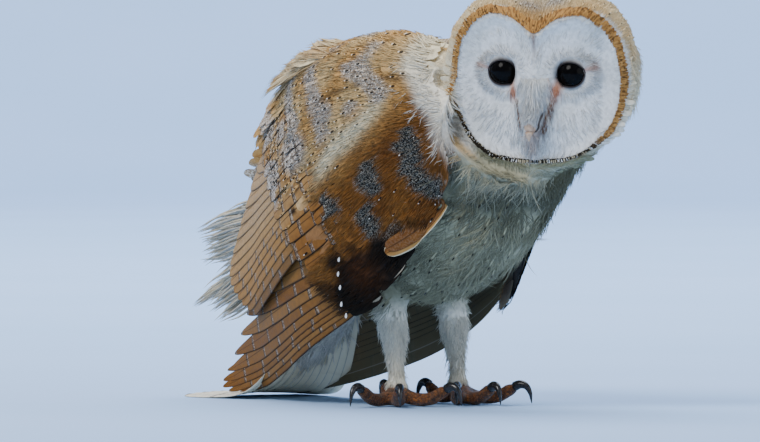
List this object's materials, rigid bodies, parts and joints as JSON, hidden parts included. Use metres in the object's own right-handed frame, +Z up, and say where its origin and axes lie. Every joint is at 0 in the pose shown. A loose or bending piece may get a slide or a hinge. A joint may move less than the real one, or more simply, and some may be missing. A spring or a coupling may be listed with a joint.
{
  "type": "barn owl model",
  "caption": "Life-size still barn owl standing with drooped half-open wings, its head turned to one side and its tail laid on the floor.",
  "frame": {"origin": "on the floor, under the middle of the bird's bounding box", "axes": "+Z up; the body faces -Y; +X is the bird's own left side"},
  "size_m": [0.116, 0.2998, 0.2031],
  "materials": {
    "plumage_white": "soft matt feathers",
    "plumage_buff": "soft matt feathers",
    "plumage_orange": "smooth flight feathers, faint sheen",
    "toe_skin": "scaly, satin",
    "claw_horn": "polished horn",
    "beak_horn": "satin horn",
    "eye_gloss": "wet gloss"
  },
  "bodies": {
    "root": {"head": "plumage_buff", "facial_disc": "plumage_white", "eye_right": "eye_gloss", "eye_left": "eye_gloss", "beak_upper": "beak_horn", "beak_lower": "beak_horn", "neck": "plumage_white", "trunk": "plumage_white", "coverts_right": "plumage_orange", "scapulars_right": "plumage_buff", "secondaries_right": "plumage_orange", "primaries_right": "plumage_orange", "alula_right": "plumage_orange", "coverts_left": "plumage_orange", "scapulars_left": "plumage_buff", "secondaries_left": "plumage_orange", "primaries_left": "plumage_orange", "alula_left": "plumage_orange", "mantle": "plumage_buff", "tail": "plumage_white", "rump_plumes": "plumage_white", "tail_coverts": "plumage_white", "thigh_right": "plumage_white", "tarsus_right": "plumage_white", "toe_outer_right": "toe_skin", "claw_outer_right": "claw_horn", "toe_middle_right": "toe_skin", "claw_middle_right": "claw_horn", "toe_inner_right": "toe_skin", "claw_inner_right": "claw_horn", "toe_hind_right": "toe_skin", "claw_hind_right": "claw_horn", "thigh_left": "plumage_white", "tarsus_left": "plumage_white", "toe_outer_left": "toe_skin", "claw_outer_left": "claw_horn", "toe_middle_left": "toe_skin", "claw_middle_left": "claw_horn", "toe_inner_left": "toe_skin", "claw_inner_left": "claw_horn", "toe_hind_left": "toe_skin", "claw_hind_left": "claw_horn"}
  },
  "joints": []
}
